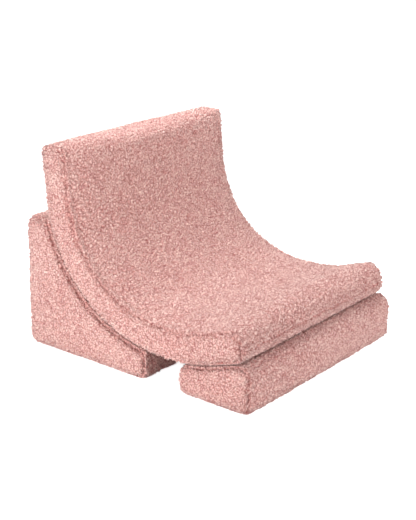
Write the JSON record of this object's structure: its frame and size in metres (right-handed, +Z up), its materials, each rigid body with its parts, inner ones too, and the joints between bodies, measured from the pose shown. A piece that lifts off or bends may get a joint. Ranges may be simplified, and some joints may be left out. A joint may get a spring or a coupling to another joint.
{
  "type": "child's foam lounge chair",
  "caption": "Low child's lounge chair: a thick curved foam seat slab in a teddy cover, carried by a loose rear wedge and a loose front block.",
  "frame": {"origin": "on the floor, under the middle of the chair's outer box", "axes": "+Z up, the chair faces -Y, +X is the sitter's left"},
  "size_m": [0.5, 0.561, 0.4247],
  "materials": {
    "teddy_cover": "curly teddy pile",
    "foam": "cut polyurethane foam",
    "zip_tape": "flat woven tape",
    "zip_teeth": "moulded nylon",
    "zip_metal": "painted die casting"
  },
  "bodies": {
    "seat": {"seat_foam": "foam", "seat_side_left": "teddy_cover", "seat_side_right": "teddy_cover", "seat_sitting_panel": "teddy_cover", "seat_under_panel": "teddy_cover", "seat_zip_tapes": "zip_tape", "seat_zip_upper_row": "zip_teeth", "seat_zip_lower_row": "zip_teeth", "seat_zip_stops": "zip_metal"},
    "seat_zip_slider": {"seat_zip_slider": "zip_metal"},
    "seat_zip_pull": {"seat_zip_pull": "zip_metal"},
    "wedge": {"wedge_foam": "foam", "wedge_side_left": "teddy_cover", "wedge_side_right": "teddy_cover", "wedge_cradle_panel": "teddy_cover", "wedge_back_panel": "teddy_cover", "wedge_base_panel": "teddy_cover", "wedge_zip_tapes": "zip_tape", "wedge_zip_upper_row": "zip_teeth", "wedge_zip_lower_row": "zip_teeth", "wedge_zip_stops": "zip_metal"},
    "wedge_zip_slider": {"wedge_zip_slider": "zip_metal"},
    "wedge_zip_pull": {"wedge_zip_pull": "zip_metal"},
    "block": {"block_foam": "foam", "block_side_left": "teddy_cover", "block_side_right": "teddy_cover", "block_top_panel": "teddy_cover", "block_rear_panel": "teddy_cover", "block_base_panel": "teddy_cover", "block_zip_tapes": "zip_tape", "block_zip_upper_row": "zip_teeth", "block_zip_lower_row": "zip_teeth", "block_zip_stops": "zip_metal"},
    "block_zip_slider": {"block_zip_slider": "zip_metal"},
    "block_zip_pull": {"block_zip_pull": "zip_metal"}
  },
  "joints": [
    {"name": "seat_lift", "type": "slide", "parent": "wedge", "child": "seat", "axis": [0, 0, 1], "range_m": [0, 0.35]},
    {"name": "block_pull_out", "type": "slide", "parent": "wedge", "child": "block", "axis": [0, -1, 0], "range_m": [0, 0.3]},
    {"name": "seat_zip_run", "type": "slide", "parent": "seat", "child": "seat_zip_slider", "axis": [-1, 0, 0], "range_m": [0, 0.362]},
    {"name": "seat_zip_pull_swing", "type": "hinge", "parent": "seat_zip_slider", "child": "seat_zip_pull", "pos_m": [0.1927, 0.22982, 0.37149], "axis": [0, -0.1045, -0.9945], "range_deg": [0, 150]},
    {"name": "wedge_zip_run", "type": "slide", "parent": "wedge", "child": "wedge_zip_slider", "axis": [-1, 0, 0], "range_m": [0, 0.362]},
    {"name": "wedge_zip_pull_swing", "type": "hinge", "parent": "wedge_zip_slider", "child": "wedge_zip_pull", "pos_m": [0.1927, 0.2784, 0.052], "axis": [0, 0, -1], "range_deg": [0, 150]},
    {"name": "block_zip_run", "type": "slide", "parent": "block", "child": "block_zip_slider", "axis": [-1, 0, 0], "range_m": [0, 0.362]},
    {"name": "block_zip_pull_swing", "type": "hinge", "parent": "block_zip_slider", "child": "block_zip_pull", "pos_m": [0.1927, -0.1128, 0.026], "axis": [0, 0, -1], "range_deg": [0, 150]}
  ]
}
